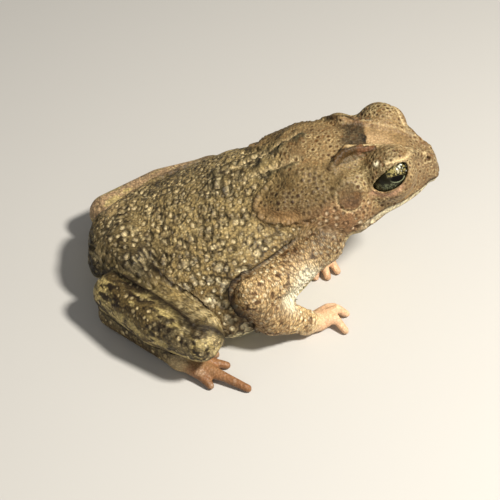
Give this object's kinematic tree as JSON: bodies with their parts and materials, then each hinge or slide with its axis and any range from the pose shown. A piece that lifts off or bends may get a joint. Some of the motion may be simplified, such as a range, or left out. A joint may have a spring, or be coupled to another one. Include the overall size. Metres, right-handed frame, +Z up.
{
  "type": "toad model",
  "caption": "Life-size museum model of a sitting Philippine toad, raised on its hands with its hind legs folded under a warty body.",
  "frame": {"origin": "on the floor, under the middle of the model's box", "axes": "+X is the way the toad faces, +Y is towards its left side and +Z is up"},
  "size_m": [0.0715, 0.0642, 0.0366],
  "materials": {
    "warty_skin": "matte, warty, olive brown",
    "digit_skin": "smooth satin, orange tan",
    "throat_skin": "finely grained, cream",
    "ear_drum": "satin, pinkish brown",
    "eye": "wet gloss, dark with a gold iris"
  },
  "bodies": {
    "root": {"torso": "warty_skin", "head": "warty_skin", "lower_jaw": "throat_skin", "eye_left": "eye", "eye_right": "eye", "tympanum_left": "ear_drum", "tympanum_right": "ear_drum", "parotoid_left": "warty_skin", "parotoid_right": "warty_skin", "upper_arm_left": "warty_skin", "upper_arm_right": "warty_skin", "forearm_left": "warty_skin", "forearm_right": "warty_skin", "hand_left": "digit_skin", "hand_right": "digit_skin", "thigh_left": "warty_skin", "thigh_right": "warty_skin", "shank_left": "warty_skin", "shank_right": "warty_skin", "tarsus_left": "warty_skin", "tarsus_right": "warty_skin", "foot_left": "digit_skin", "foot_right": "digit_skin"}
  },
  "joints": []
}
